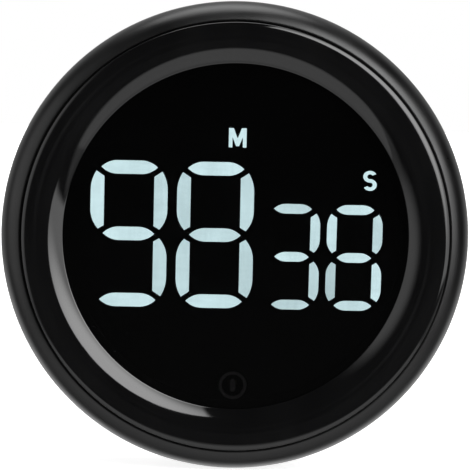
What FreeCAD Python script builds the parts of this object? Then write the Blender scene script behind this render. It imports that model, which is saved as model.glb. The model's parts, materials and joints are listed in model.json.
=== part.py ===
"""Magnetic kitchen timer with a turning dial ring, a lit segment display and three AAA cells.

Model frame, in millimetres: +Z is up, the display faces -Y, and the origin is the centre of the flat back
face that the magnets hold against a steel door. "Depth" is measured forward from that back face, so a
point at depth d lies at y = -d.
"""

import FreeCAD
import Part
import math
import os

from FreeCAD import Vector

# ---------------------------------------------------------------- driving dimensions
RING_RADIUS = 39.0          # outside of the dial ring
CREST_DEPTH = 28.0          # front of the lens's raised rim, the timer's whole thickness

# Lens: a flat window inside a raised rim. The rim's section is an arc on either side of its crest, then a
# tighter turn that starts at RIM_TURN_RADIUS, then a small round into the upright side.
WINDOW_RADIUS = 28.7
CREST_RADIUS = 32.8
RIM_INNER_SECTION = 7.0
RIM_OUTER_SECTION = 9.6
RIM_TURN_RADIUS = 34.8
RIM_TURN_SECTION = 1.6
RIM_TURN_LEAN = 33.0        # degrees the surface leans where the small round takes over
LENS_EDGE_ROUND = 0.2
LENS_RADIUS = 35.43
LENS_WALL = 1.8
LENS_SEAT_DEPTH = 24.2      # where the lens's skirt stands on the middle frame

# Dial ring: an outer shell pressed on a toothed inner ring.
SHELL_BORE = 37.0
SHELL_BACK = 8.2
SHELL_SHOULDER = 20.9       # where the side starts to curve in to the lip
SHOULDER_REACH, SHOULDER_RISE = 4.2, 5.2    # half axes of the shoulder's ellipse, inward and forward
LIP_BORE = 35.6
LIP_ROUND = 0.3
LIP_UNDERSIDE = 23.5
FLUTES = 120
FLUTE_RADIUS = 1.0
FLUTE_DEPTH = 0.35
FLUTE_BACK, FLUTE_FRONT = 10.2, 18.6

# Gear train: internal teeth in the dial's inner ring drive the encoder's pinion.
MODULE = 0.8
RING_TEETH = 84
PINION_TEETH = 16
PRESSURE_ANGLE = math.radians(20)
FLANK_PLAY = 0.12           # taken off each tooth's thickness at the pitch circle
TOOTH_BACK, TOOTH_FRONT = 11.0, 14.2
ENCODER_Z = MODULE * (RING_TEETH - PINION_TEETH) / 2

# Rear cover
REAR_RADIUS = 36.4
REAR_EDGE_ROUND = 1.8
SKIN = 1.6
REAR_SHOULDER = 8.0         # flange that stops the dial's inner ring
SPIGOT_RADIUS, SPIGOT_BORE, SPIGOT_END = 34.0, 32.4, 10.4

# Middle frame
JOURNAL_RADIUS = 35.2
JOURNAL_BACK = 14.4
FLANGE_RADIUS, FLANGE_BACK, FLANGE_FRONT = 36.5, 22.3, 23.2    # holds the dial on
FRAME_BORE = 33.4
WEB_BACK, WEB_FRONT = 16.0, 17.2

# Battery compartment: three AAA cells side by side, lying along X.
CELL_RADIUS, CELL_LENGTH = 5.25, 44.5
CELL_PITCH = 10.7
CELL_DEPTH = 7.2
CELL_TIP_X = 24.2           # contact face of each cell's positive end
BAY_LENGTH, BAY_HEIGHT = 50.0, 32.6
BAY_WALL = 2.0
BAY_END, BAY_FLOOR = 13.2, 1.0
PLATE_X, PLATE_THICKNESS = 24.5, 0.4
PLATE_BACK, PLATE_FRONT = 4.2, 11.2

# Battery door
DOOR_LENGTH, DOOR_HEIGHT, DOOR_CORNER = 52.2, 35.2, 4.0
DOOR_GAP = 0.2
DOOR_THICKNESS = 1.5
TAB_Z, TAB_WIDTH = 5.35, 4.0

# Small features of the back, placed at the same distance from both centre lines.
FEATURE_X, FEATURE_Z = 11.5, 25.2
MAGNET_RADIUS, MAGNET_THICKNESS = 6.0, 2.0
SCREW_XZ = 20.9             # housing screws, at the four corners

# Boards and display
BOARD_RADIUS, BOARD_THICKNESS = 32.2, 1.2
BOARD_FRONT = WEB_FRONT + BOARD_THICKNESS
DISPLAY_RADIUS = 28.8
DISPLAY_FRONT = 24.2
SEGMENT_BACK = DISPLAY_FRONT - 2.0
BOARD_SCREW_RADIUS = 30.6
ICON_Z = -24.8
ICON_THICKNESS = 0.15

# Digits: one drawing of a digit, used in two styles. A style is the drawing's scale, its lean to the right
# per unit of height, what is taken off each segment's two ends, and then off its outline all round.
DIGIT_WIDTH, DIGIT_HEIGHT = 12.95, 24.44
STROKE = 2.43
DIGIT_BASE_Z = -12.12
LARGE = (1.0, 0.0, 0.0, 0.09)
SMALL = (0.724, 0.0105, 0.31, 0.075)
DIGITS = (                  # centre x, style, lit segments
    (-17.77, LARGE, "abcdfg"),
    (-3.43, LARGE, "abcdefg"),
    (9.37, SMALL, "abcdg"),
    (19.75, SMALL, "abcdefg"),
)
MINUTE_MARK = (0.05, 16.3)
SECOND_MARK = (22.15, 9.59)

FORWARD = Vector(0, -1, 0)


# ---------------------------------------------------------------- drawing helpers
def spot(x, depth, z):
    return Vector(x, -depth, z)


def rod(radius, back, front, x=0.0, z=0.0):
    """Round solid along the depth direction."""
    return Part.makeCylinder(radius, front - back, spot(x, back, z), FORWARD)


def tube(outer, inner, back, front, x=0.0, z=0.0):
    return rod(outer, back, front, x, z).cut(rod(inner, back - 1, front + 1, x, z))


def block(length, height, back, front, x=0.0, z=0.0):
    """Box centred on (x, z) between two depths."""
    return Part.makeBox(length, front - back, height, Vector(x - length / 2, -front, z - height / 2))


class Pen:
    """Draws one closed outline of lines and arcs. place(u, v) gives the point in space."""

    def __init__(self, place, u, v):
        self.place = place
        self.start = self.at = place(u, v)
        self.edges = []

    def line(self, u, v):
        end = self.place(u, v)
        if (end - self.at).Length > 1e-7:
            self.edges.append(Part.makeLine(self.at, end))
        self.at = end
        return self

    def arc(self, through, end):
        last = self.place(*end)
        self.edges.append(Part.Arc(self.at, self.place(*through), last).toShape())
        self.at = last
        return self

    def face(self):
        if (self.start - self.at).Length > 1e-7:
            self.edges.append(Part.makeLine(self.at, self.start))
        return Part.Face(Part.Wire(self.edges))


def on_section(radius, depth):
    """Places a turned part's (radius, depth) profile in the plane that is revolved."""
    return Vector(radius, -depth, 0)


def at_depth(depth, x=0.0, z=0.0, scale=1.0, lean=0.0):
    """A rule that places a flat drawing at one depth, moved to (x, z), scaled and leaning to the right."""
    return lambda u, v: spot(x + scale * (u + lean * v), depth, z + scale * v)


def turn(face):
    return face.revolve(Vector(0, 0, 0), Vector(0, 1, 0), 360)


def raise_face(face, thickness):
    return face.extrude(FORWARD * thickness)


def arc_point(centre, radius, degrees):
    angle = math.radians(degrees)
    return (centre[0] + radius * math.cos(angle), centre[1] + radius * math.sin(angle))


def on_arc(centre, section, radius):
    """The profile point at a radius on an arc that bulges forward."""
    return (radius, centre[1] + math.sqrt(section ** 2 - (radius - centre[0]) ** 2))


def rounded_face(length, height, corner, depth, x=0.0, z=0.0):
    half_x, half_z = length / 2 - corner, height / 2 - corner
    pen = Pen(at_depth(depth, x, z), half_x + corner, -half_z)
    for centre, start in (((half_x, half_z), 0), ((-half_x, half_z), 90),
                          ((-half_x, -half_z), 180), ((half_x, -half_z), 270)):
        pen.line(*arc_point(centre, corner, start))
        pen.arc(arc_point(centre, corner, start + 45), arc_point(centre, corner, start + 90))
    return pen.face()


def slab(length, height, corner, back, front, x=0.0, z=0.0):
    """Plate with rounded corners between two depths."""
    return raise_face(rounded_face(length, height, corner, back, x, z), front - back)


def joined(shapes):
    solid = shapes[0]
    for shape in shapes[1:]:
        solid = solid.fuse(shape)
    return solid.removeSplitter()


def ring_of(radius, angles):
    return [(radius * math.cos(math.radians(a)), radius * math.sin(math.radians(a))) for a in angles]


def coil(radius, end_radius, length, turns, wire):
    """Round-wire spring along +Z from the origin, with a constant pitch and a straight taper."""
    half_taper = math.degrees(math.atan2(end_radius - radius, length))
    path = Part.makeLongHelix(length / turns, length, radius, half_taper)
    section = Part.Wire(Part.makeCircle(wire / 2, Vector(radius, 0, 0), Vector(0, 1, 0)))
    return Part.Wire(path.Edges).makePipeShell([section], True, True)


def lead(points, radius):
    """Insulated wire through the points, each corner an arc as large as its two runs allow."""
    edges, at = [], points[0]
    for before, corner, after in zip(points, points[1:], points[2:]):
        back, on = (before - corner), (after - corner)
        run = 0.45 * min(back.Length, on.Length)
        start = corner + back.normalize() * run
        end = corner + on.normalize() * run
        half_turn = (math.pi - back.getAngle(on)) / 2
        bisector = (back + on).normalize()
        bend = run / math.tan(half_turn)
        middle = corner + bisector * (math.hypot(run, bend) - bend)
        edges.append(Part.makeLine(at, start))
        edges.append(Part.Arc(start, middle, end).toShape())
        at = end
    edges.append(Part.makeLine(at, points[-1]))
    direction = points[1] - points[0]
    section = Part.Wire(Part.makeCircle(radius, points[0], direction))
    return Part.Wire(edges).makePipeShell([section], True, False)


def board_screw_spots():
    return ring_of(BOARD_SCREW_RADIUS, (30, 150, 270))


def housing_screw_spots():
    return [(side_x * SCREW_XZ, side_z * SCREW_XZ) for side_x in (-1, 1) for side_z in (-1, 1)]


# ---------------------------------------------------------------- lens
def front_lens():
    """Smoked lens: flat window, raised rim of even wall and a skirt that stands on the frame."""
    inside = (CREST_RADIUS, CREST_DEPTH - RIM_INNER_SECTION)
    outside = (CREST_RADIUS, CREST_DEPTH - RIM_OUTER_SECTION)
    hollow_inside, hollow_outside = RIM_INNER_SECTION - LENS_WALL, RIM_OUTER_SECTION - LENS_WALL
    window = on_arc(inside, RIM_INNER_SECTION, WINDOW_RADIUS)
    under = window_underside()
    under_radius = CREST_RADIUS - math.sqrt(hollow_inside ** 2 - (under - inside[1]) ** 2)
    crest = (CREST_RADIUS, CREST_DEPTH)
    first = 90 - math.degrees(math.asin((RIM_TURN_RADIUS - CREST_RADIUS) / RIM_OUTER_SECTION))
    last = 90 - RIM_TURN_LEAN
    turn_start = arc_point(outside, RIM_OUTER_SECTION, first)
    turn_centre = arc_point(turn_start, -RIM_TURN_SECTION, first)
    turn_end = arc_point(turn_centre, RIM_TURN_SECTION, last)
    round_centre = arc_point(turn_end, -LENS_EDGE_ROUND, last)
    pen = Pen(on_section, 0, under).line(0, window[1]).line(*window)
    pen.arc(on_arc(inside, RIM_INNER_SECTION, (WINDOW_RADIUS + CREST_RADIUS) / 2), crest)
    pen.arc(on_arc(outside, RIM_OUTER_SECTION, (CREST_RADIUS + RIM_TURN_RADIUS) / 2), turn_start)
    pen.arc(arc_point(turn_centre, RIM_TURN_SECTION, (first + last) / 2), turn_end)
    pen.arc(arc_point(round_centre, LENS_EDGE_ROUND, last / 2), (LENS_RADIUS, round_centre[1]))
    skirt_bore = LENS_RADIUS - LENS_WALL
    pen.line(LENS_RADIUS, LENS_SEAT_DEPTH).line(skirt_bore, LENS_SEAT_DEPTH)
    pen.line(*on_arc(outside, hollow_outside, skirt_bore))
    pen.arc(on_arc(outside, hollow_outside, (skirt_bore + CREST_RADIUS) / 2),
            (CREST_RADIUS, CREST_DEPTH - LENS_WALL))
    pen.arc(on_arc(inside, hollow_inside, (under_radius + CREST_RADIUS) / 2), (under_radius, under))
    return turn(pen.face())


def window_underside():
    drop = RIM_INNER_SECTION - math.sqrt(RIM_INNER_SECTION ** 2 - (CREST_RADIUS - WINDOW_RADIUS) ** 2)
    return CREST_DEPTH - drop - LENS_WALL


def touch_icon():
    """Ring and pill printed on the window's underside over the touch key."""
    front = window_underside()
    back = front - ICON_THICKNESS
    ring = tube(2.3, 1.8, back, front, 0, ICON_Z)
    pill = slab(0.9, 2.1, 0.44, back, front, 0, ICON_Z)
    return Part.makeCompound([ring, pill])


def lens_gasket():
    return tube(DISPLAY_RADIUS, 27.4, DISPLAY_FRONT, window_underside())


# ---------------------------------------------------------------- display
def digit_outlines(end_trim):
    """Outlines of segments a to g about the digit's centre, as Pen instructions by name."""
    half_w, half_h, half_s = DIGIT_WIDTH / 2, DIGIT_HEIGHT / 2, STROKE / 2
    shoulder = 2.8              # run of each curved end of a level segment

    def level(z, half_length):
        """Segment with a flat middle and two pointed ends made of arcs."""
        def draw(place):
            tip = half_length - end_trim
            flat = tip - shoulder
            bend = (shoulder ** 2 + half_s ** 2) / (2 * half_s)
            step = math.degrees(math.asin(shoulder / bend)) / 2
            pen = Pen(place, -flat, z + half_s).line(flat, z + half_s)
            pen.arc(arc_point((flat, z + half_s - bend), bend, 90 - step), (tip, z))
            pen.arc(arc_point((flat, z - half_s + bend), bend, step - 90), (flat, z - half_s))
            pen.line(-flat, z - half_s)
            pen.arc(arc_point((-flat, z - half_s + bend), bend, 270 - step), (-tip, z))
            pen.arc(arc_point((-flat, z + half_s - bend), bend, 90 + step), (-flat, z + half_s))
            return pen.face()
        return draw

    def upright(side, end):
        """Segment with a straight bevelled inner edge and a long curve at each outer corner."""
        inner_x = half_w - STROKE
        far_tip = (half_w - 0.99, half_h - 1.75 - end_trim)
        mid_tip = (half_w - 1.36, 0.6 + end_trim)
        far_curve_z, mid_curve_z = half_h - 5.0, 4.0

        def curve_mid(tip, straight_z):
            """Middle of the arc from a tip to where it runs into the straight outer edge."""
            run, rise = abs(tip[1] - straight_z), half_w - tip[0]
            bend = (run ** 2 + rise ** 2) / (2 * rise)
            half = math.asin(run / bend) / 2
            way = 1 if tip[1] > straight_z else -1
            return (half_w - bend + bend * math.cos(half), straight_z + way * bend * math.sin(half))

        def draw(place):
            def put(u, v):
                return place(side * u, end * v)
            pen = Pen(put, inner_x, half_h - 2.71 - end_trim).line(*far_tip)
            pen.arc(curve_mid(far_tip, far_curve_z), (half_w, far_curve_z))
            pen.line(half_w, mid_curve_z).arc(curve_mid(mid_tip, mid_curve_z), mid_tip)
            pen.line(inner_x, 1.23 + end_trim)
            return pen.face()
        return draw

    return {
        "a": level(half_h - half_s, 4.8),
        "b": upright(1, 1),
        "c": upright(1, -1),
        "d": level(half_s - half_h, 4.8),
        "e": upright(-1, -1),
        "f": upright(-1, 1),
        "g": level(0, 4.4),
    }


def segment_solids(back, front):
    """(lit, unlit) light windows of all four digits between two depths."""
    lit, unlit = [], []
    for x, (scale, lean, end_trim, trim), shown in DIGITS:
        place = at_depth(back, x, DIGIT_BASE_Z + scale * DIGIT_HEIGHT / 2, scale, lean)
        for name, draw in digit_outlines(end_trim).items():
            solid = raise_face(draw(place).makeOffset2D(-trim), front - back)
            (lit if name in shown else unlit).append(solid)
    return lit, unlit


def minute_letter(back, front):
    """Capital M of plain strokes."""
    width, height, stroke = 2.94, 3.21, 0.61
    half_w, half_h, vee = width / 2, height / 2, 0.5
    pen = Pen(at_depth(back, *MINUTE_MARK), -half_w, -half_h)
    outline = (
        (-half_w, half_h), (-half_w + 0.8, half_h), (0, half_h - 1.74), (half_w - 0.8, half_h),
        (half_w, half_h), (half_w, -half_h), (half_w - stroke, -half_h), (half_w - stroke, half_h - 1.5),
        (vee / 2, -half_h + 0.22), (-vee / 2, -half_h + 0.22), (-half_w + stroke, half_h - 1.5),
        (-half_w + stroke, -half_h),
    )
    for corner in outline:
        pen.line(*corner)
    return raise_face(pen.face(), front - back)


def second_letter(back, front):
    """Capital S: two bowls of one stroke width that meet in the middle."""
    stroke, bowl = 0.58, 0.975
    mean = bowl - stroke / 2
    half = stroke / 2

    def bowl_face(side, start, end):
        """Part of a round stroke between two angles, centred above or below the middle."""
        centre = (0, side * mean)
        middle = (start + end) / 2
        pen = Pen(at_depth(back), *arc_point(centre, bowl, start))
        pen.arc(arc_point(centre, bowl, middle), arc_point(centre, bowl, end))
        pen.line(*arc_point(centre, mean - half, end))
        pen.arc(arc_point(centre, mean - half, middle), arc_point(centre, mean - half, start))
        return pen.face()

    upper = raise_face(bowl_face(1, 28, 272), front - back)
    lower = raise_face(bowl_face(-1, -152, 92), front - back)
    letter = joined([upper, lower])
    stretch = FreeCAD.Matrix()
    stretch.A11 = 1.165
    letter = letter.transformGeometry(stretch)
    letter.translate(Vector(SECOND_MARK[0], 0, SECOND_MARK[1]))
    return letter


def display_block():
    """Black housing with a light shaft for every segment, mark and the touch key."""
    back, front = BOARD_FRONT - 1, DISPLAY_FRONT + 1
    lit, unlit = segment_solids(back, front)
    shafts = lit + unlit + [minute_letter(back, front), second_letter(back, front)]
    shafts.append(rod(2.6, back, front, 0, ICON_Z))
    shafts += [slab(4.2, 4.4, 0.6, back, SEGMENT_BACK, x, z) for x, z in (MINUTE_MARK, SECOND_MARK)]
    return rod(DISPLAY_RADIUS, BOARD_FRONT, DISPLAY_FRONT).cut(shafts)


def segment_leds():
    """Surface-mount LEDs on the board: two behind each large segment, one behind each small one."""
    length, width, height = 1.6, 0.8, 0.6
    leds = []

    def add(x, z, upright):
        size = (width, length) if upright else (length, width)
        leds.append(block(*size, BOARD_FRONT, BOARD_FRONT + height, x, z))

    level_z = (DIGIT_HEIGHT - STROKE) / 2
    side_x = (DIGIT_WIDTH - STROKE) / 2
    for x, style, _ in DIGITS:
        scale = style[0]
        middle = DIGIT_BASE_Z + scale * DIGIT_HEIGHT / 2
        offsets = (-2.0, 2.0) if style is LARGE else (0.0,)
        for offset in offsets:
            for z in (-level_z, 0, level_z):
                add(x + offset, middle + scale * z, False)
            for side in (-side_x, side_x):
                for end in (-1, 1):
                    add(x + scale * side, middle + scale * end * DIGIT_HEIGHT / 4 + offset, True)
    add(*MINUTE_MARK, False)
    add(*SECOND_MARK, True)
    add(0, ICON_Z, False)
    return Part.makeCompound(leds)


# ---------------------------------------------------------------- boards and electronics
def main_board():
    board = rod(BOARD_RADIUS, WEB_FRONT, BOARD_FRONT)
    holes = [rod(0.9, WEB_FRONT - 1, BOARD_FRONT + 1, x, z) for x, z in board_screw_spots()]
    return board.cut(holes)


def board_screws():
    screws = []
    for x, z in board_screw_spots():
        head = rod(1.35, BOARD_FRONT, BOARD_FRONT + 0.9, x, z)
        shank = rod(0.6, WEB_BACK - 1.1, BOARD_FRONT, x, z)
        cross = [block(1.6, 0.35, BOARD_FRONT + 0.45, BOARD_FRONT + 1, x, z),
                 block(0.35, 1.6, BOARD_FRONT + 0.45, BOARD_FRONT + 1, x, z)]
        screws.append(joined([head, shank]).cut(cross))
    return Part.makeCompound(screws)


CHIP_X, CHIP_Z, CHIP_SIDE = -9.0, 6.0, 7.0


def controller_chip():
    return slab(CHIP_SIDE, CHIP_SIDE, 0.3, WEB_FRONT - 1.5, WEB_FRONT - 0.15, CHIP_X, CHIP_Z)


def chip_leads():
    """Eight gull-wing legs on each of the chip's four sides."""
    count, pitch, reach, thickness = 8, 0.8, 1.0, 0.2
    foot_back = WEB_FRONT - thickness
    middle = WEB_FRONT - 0.8
    legs = []
    for k in range(count):
        along = (k - (count - 1) / 2) * pitch
        for side in (-1, 1):
            out = side * (CHIP_SIDE / 2 + reach / 2)
            knee = side * (CHIP_SIDE / 2 + reach / 2 - 0.4)
            for x, z, level in ((out, along, True), (along, out, False)):
                foot = (reach, 0.35) if level else (0.35, reach)
                leg = (thickness, 0.35) if level else (0.35, thickness)
                leg_x, leg_z = (knee, along) if level else (along, knee)
                legs.append(joined([
                    block(*foot, foot_back, WEB_FRONT, CHIP_X + x, CHIP_Z + z),
                    block(*leg, middle, foot_back, CHIP_X + leg_x, CHIP_Z + leg_z),
                ]))
    return Part.makeCompound(legs)


def board_parts():
    """Resistors and capacitors beside the controller, in two rows."""
    parts = []
    for k in range(6):
        parts.append(block(1.6, 0.8, WEB_FRONT - 0.6, WEB_FRONT, 1.5 + 2.6 * k, 12.5))
        parts.append(block(0.8, 1.6, WEB_FRONT - 0.5, WEB_FRONT, 1.5 + 2.0 * k, -8.0))
    parts.append(slab(3.2, 2.5, 0.3, WEB_FRONT - 0.9, WEB_FRONT, -12.0, -8.0))
    parts.append(rod(2.0, WEB_FRONT - 2.2, WEB_FRONT, -14.5, -1.5))
    return Part.makeCompound(parts)


PLUG_X, PLUG_Z = 14.5, 2.5


def wire_socket():
    """Two-way socket for the battery leads."""
    shell = block(4.4, 5.2, WEB_FRONT - 2.4, WEB_FRONT, PLUG_X, PLUG_Z)
    pockets = [block(3.2, 1.5, WEB_FRONT - 1.9, WEB_FRONT - 0.5, PLUG_X + 1.0, PLUG_Z + dz)
               for dz in (-1.25, 1.25)]
    return shell.cut(pockets)


def touch_spring():
    """Sensing spring from the board to the window's underside behind the touch icon."""
    wire = 0.4
    length = window_underside() - ICON_THICKNESS - BOARD_FRONT
    spring = coil(1.75, 1.75, length - wire, 6, wire)
    spring.rotate(Vector(0, 0, 0), Vector(1, 0, 0), 90)
    spring.translate(spot(0, BOARD_FRONT + wire / 2, ICON_Z))
    return spring


# ---------------------------------------------------------------- gear train and dial
def gear_outline(teeth, tip, root, thickness, depth, x=0.0, z=0.0, steps=4, middle_angle=90.0):
    """Involute outline with one tooth centred on middle_angle."""
    pitch = MODULE * teeth / 2
    base = pitch * math.cos(PRESSURE_ANGLE)

    def involute(angle):
        return math.tan(angle) - angle

    def half_angle(radius):
        lean = math.acos(min(1.0, base / radius))
        return thickness / (2 * pitch) + involute(PRESSURE_ANGLE) - involute(lean)

    first = max(root, base)
    radii = [first + (tip - first) * k / steps for k in range(steps + 1)]
    points = []
    for k in range(teeth):
        middle = math.radians(middle_angle) + 2 * math.pi * k / teeth
        flank = [(r, -half_angle(r)) for r in radii]
        if root < base:
            flank.insert(0, (root, -half_angle(base)))
        flank += [(r, -a) for r, a in reversed(flank)]
        points += [spot(x + r * math.cos(middle + a), depth, z + r * math.sin(middle + a)) for r, a in flank]
    return Part.Face(Part.makePolygon(points + [points[0]]))


def gear_ring():
    """Inner ring of the dial: a plain bearing bore with a toothed flange behind it."""
    pitch = MODULE * RING_TEETH / 2
    bore = JOURNAL_RADIUS + 0.08
    back, front = REAR_SHOULDER + 0.3, FLANGE_BACK - 0.3
    body = rod(SHELL_BORE, back, front)
    space = math.pi * MODULE / 2 + FLANK_PLAY
    teeth = gear_outline(RING_TEETH, pitch + 0.9, pitch - 0.6, space, TOOTH_BACK - 0.5, steps=2)
    return body.cut([
        rod(bore, back - 1, TOOTH_BACK),
        rod(bore, TOOTH_FRONT, front + 1),
        raise_face(teeth, TOOTH_FRONT - TOOTH_BACK + 1),
    ])


def dial_ring():
    """Outer shell of the dial: smooth rounded front lip and a fluted grip band on the side."""
    hub = RING_RADIUS - SHOULDER_REACH

    def lean(turned):
        """Direction square to the shoulder's ellipse, in degrees, at the parameter turned."""
        return math.degrees(math.atan2(math.sin(turned) / SHOULDER_RISE, math.cos(turned) / SHOULDER_REACH))

    def on_shoulder(turned):
        return (hub + SHOULDER_REACH * math.cos(turned), SHELL_SHOULDER + SHOULDER_RISE * math.sin(turned))

    # The shoulder ends where a round of LIP_ROUND fits between it and the bore.
    low, high = 0.0, math.pi / 2
    for _ in range(40):
        turned = (low + high) / 2
        if on_shoulder(turned)[0] - LIP_ROUND * math.cos(math.radians(lean(turned))) > LIP_BORE + LIP_ROUND:
            low = turned
        else:
            high = turned
    lip_lean = lean(turned)
    lip_centre = arc_point(on_shoulder(turned), -LIP_ROUND, lip_lean)
    ellipse = Part.Ellipse(
        on_section(hub, SHELL_SHOULDER + SHOULDER_RISE), on_section(RING_RADIUS, SHELL_SHOULDER),
        on_section(hub, SHELL_SHOULDER))
    shoulder = Part.ArcOfEllipse(ellipse, math.pi / 2 - turned, math.pi / 2)
    back_round = 0.8
    pen = Pen(on_section, SHELL_BORE, SHELL_BACK).line(RING_RADIUS - back_round, SHELL_BACK)
    pen.arc(arc_point((RING_RADIUS - back_round, SHELL_BACK + back_round), back_round, -45),
            (RING_RADIUS, SHELL_BACK + back_round))
    pen.line(RING_RADIUS, SHELL_SHOULDER)
    pen.edges.append(shoulder.toShape())
    pen.at = on_section(*on_shoulder(turned))
    pen.arc(arc_point(lip_centre, LIP_ROUND, (lip_lean + 180) / 2), (LIP_BORE, lip_centre[1]))
    pen.line(LIP_BORE, LIP_UNDERSIDE).line(SHELL_BORE, LIP_UNDERSIDE)
    shell = turn(pen.face())
    flute_circle = RING_RADIUS + FLUTE_RADIUS - FLUTE_DEPTH
    flutes = [rod(FLUTE_RADIUS, FLUTE_BACK, FLUTE_FRONT, x, z)
              for x, z in ring_of(flute_circle, [360 * k / FLUTES for k in range(FLUTES)])]
    return shell.cut(flutes)


def encoder_pinion():
    pitch = MODULE * PINION_TEETH / 2
    thickness = math.pi * MODULE / 2 - FLANK_PLAY
    back = TOOTH_BACK - 0.1
    face = gear_outline(PINION_TEETH, pitch + 0.7, pitch - 0.9, thickness, back, 0, ENCODER_Z)
    gear = raise_face(face, TOOTH_FRONT - TOOTH_BACK)
    return gear.cut(rod(1.5, back - 1, TOOTH_FRONT + 1, 0, ENCODER_Z))


def encoder_shaft():
    """Rotor: shaft through the pinion into its post, with a code disc inside the body."""
    shaft = rod(1.5, 8.0, WEB_FRONT - 1.2, 0, ENCODER_Z)
    disc = rod(3.4, WEB_FRONT - 1.9, WEB_FRONT - 1.2, 0, ENCODER_Z)
    return joined([shaft, disc])


def encoder_body():
    side = 9.0
    body = slab(side, side, 0.8, TOOTH_FRONT, WEB_FRONT, 0, ENCODER_Z)
    room = rod(3.6, WEB_FRONT - 2.1, WEB_FRONT - 1.0, 0, ENCODER_Z)
    return body.cut([room, rod(1.55, TOOTH_FRONT - 1, WEB_FRONT - 1.5, 0, ENCODER_Z)])


# ---------------------------------------------------------------- middle frame
def mid_frame():
    """Round frame that carries the lens, the board and the dial's bearing."""
    pen = Pen(on_section, FRAME_BORE, JOURNAL_BACK).line(JOURNAL_RADIUS, JOURNAL_BACK)
    pen.line(JOURNAL_RADIUS, FLANGE_BACK).line(FLANGE_RADIUS, FLANGE_BACK)
    pen.line(FLANGE_RADIUS, FLANGE_FRONT).line(LENS_RADIUS, FLANGE_FRONT).line(LENS_RADIUS, LENS_SEAT_DEPTH)
    lip = LENS_RADIUS - LENS_WALL - 0.1
    pen.line(lip, LENS_SEAT_DEPTH).line(lip, 25.4).line(32.5, 25.4).line(32.5, 21.6).line(FRAME_BORE, 20.6)
    wall = turn(pen.face())
    web = tube(FRAME_BORE + 0.5, 22.0, WEB_BACK, WEB_FRONT)
    bosses = [rod(2.4, 9.0, WEB_BACK + 0.5, x, z) for x, z in housing_screw_spots()]
    bosses += [rod(1.5, WEB_BACK - 1.5, WEB_BACK + 0.5, x, z) for x, z in board_screw_spots()]
    frame = joined([wall, web] + bosses)
    cuts = [rod(0.8, 8.0, WEB_BACK - 1, x, z) for x, z in housing_screw_spots()]
    cuts += [rod(0.6, WEB_BACK - 1.2, WEB_FRONT + 1, x, z) for x, z in board_screw_spots()]
    cuts.append(block(10.0, 9.8, WEB_BACK - 1, WEB_FRONT + 1, 0, ENCODER_Z))
    cuts += [slab(9.0, 5.0, 2.0, WEB_BACK - 1, WEB_FRONT + 1, side * FEATURE_X, -24.5) for side in (-1, 1)]
    return frame.cut(cuts)


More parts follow.
